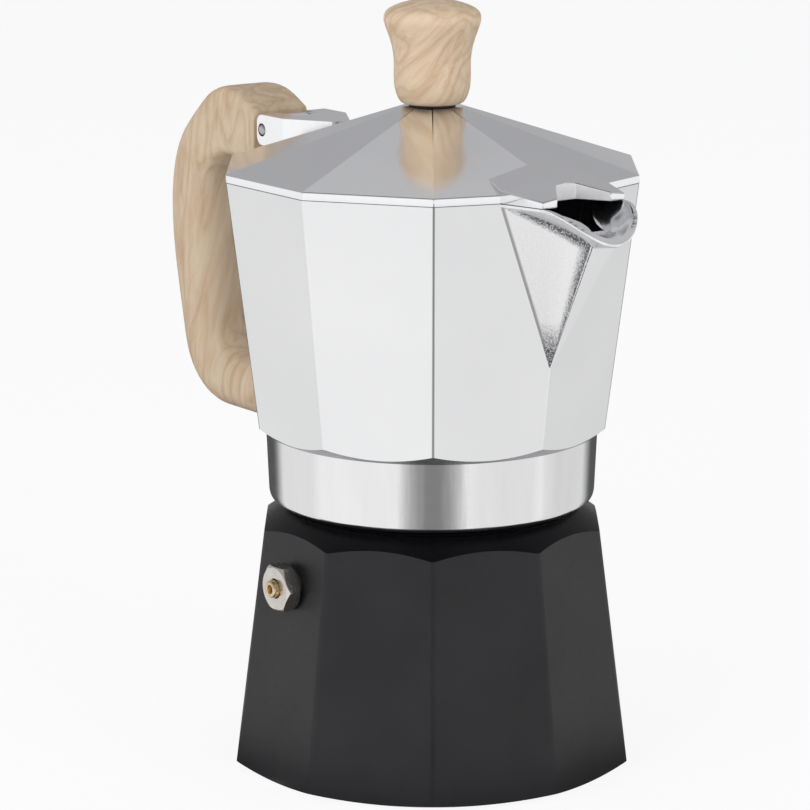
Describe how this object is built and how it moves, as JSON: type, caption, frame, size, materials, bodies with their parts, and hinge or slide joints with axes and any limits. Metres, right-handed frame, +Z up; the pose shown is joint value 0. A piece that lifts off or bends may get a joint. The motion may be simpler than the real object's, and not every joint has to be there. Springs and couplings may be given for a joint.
{
  "type": "stovetop coffee maker",
  "caption": "Faceted stovetop coffee maker: dark boiler with safety valve, funnel inside, screwed-on polished collector with spout, hinged lid, wood-look knob and handle.",
  "frame": {"origin": "centre of the base, on the plane that the boiler stands on", "axes": "+Z up along the pot's axis, +X out of the spout with the handle on -X, the safety valve on -Y"},
  "size_m": [0.1623, 0.0882, 0.1692],
  "materials": {
    "black_lacquer": "satin black lacquer on cast aluminium",
    "polished_aluminium": "polished casting",
    "plain_aluminium": "satin sheet and tube",
    "wood_look": "moulded, with a wood-grain surface",
    "nickel": "nickel plated",
    "brass": "turned",
    "steel": "plain",
    "silicone": "matt white",
    "dark_seal": "matt black"
  },
  "bodies": {
    "boiler": {"boiler": "black_lacquer", "valve_body": "nickel", "valve_washer": "dark_seal", "valve_spring": "steel"},
    "valve_stem": {"valve_stem": "brass", "valve_seal": "dark_seal"},
    "funnel": {"funnel": "plain_aluminium", "basket_sieve": "plain_aluminium"},
    "seal": {"gasket": "silicone", "filter_plate": "plain_aluminium"},
    "collector": {"collector": "polished_aluminium", "column": "plain_aluminium", "handle": "wood_look", "handle_screw": "steel", "hinge_pin": "steel"},
    "lid": {"lid": "polished_aluminium", "knob": "wood_look", "knob_insert": "brass", "knob_screw": "steel", "knob_washer": "dark_seal"}
  },
  "joints": [
    {"name": "valve_lift", "type": "slide", "parent": "boiler", "child": "valve_stem", "axis": [0, -1, 0], "range_m": [0, 0.0015], "stiffness_N_per_m": 900, "springref_m": -0.002, "deforming": ["valve_spring"]},
    {"name": "funnel_lift", "type": "slide", "parent": "boiler", "child": "funnel", "axis": [0, 0, 1], "range_m": [0, 0.07]},
    {"name": "collector_rise", "type": "slide", "parent": "funnel", "child": "seal", "axis": [0, 0, 1], "range_m": [0, 0.00751]},
    {"name": "collector_turn", "type": "hinge", "parent": "seal", "child": "collector", "pos_m": [0, 0, 0.068], "axis": [0, 0, 1], "range_deg": [0, 900]},
    {"name": "lid_hinge", "type": "hinge", "parent": "collector", "child": "lid", "pos_m": [-0.0534, 0, 0.1353], "axis": [0, -1, 0], "range_deg": [0, 100]}
  ],
  "couplings": [
    {"joint": "collector_rise", "follows": "collector_turn", "m_per_rad": 0.00047746}
  ]
}
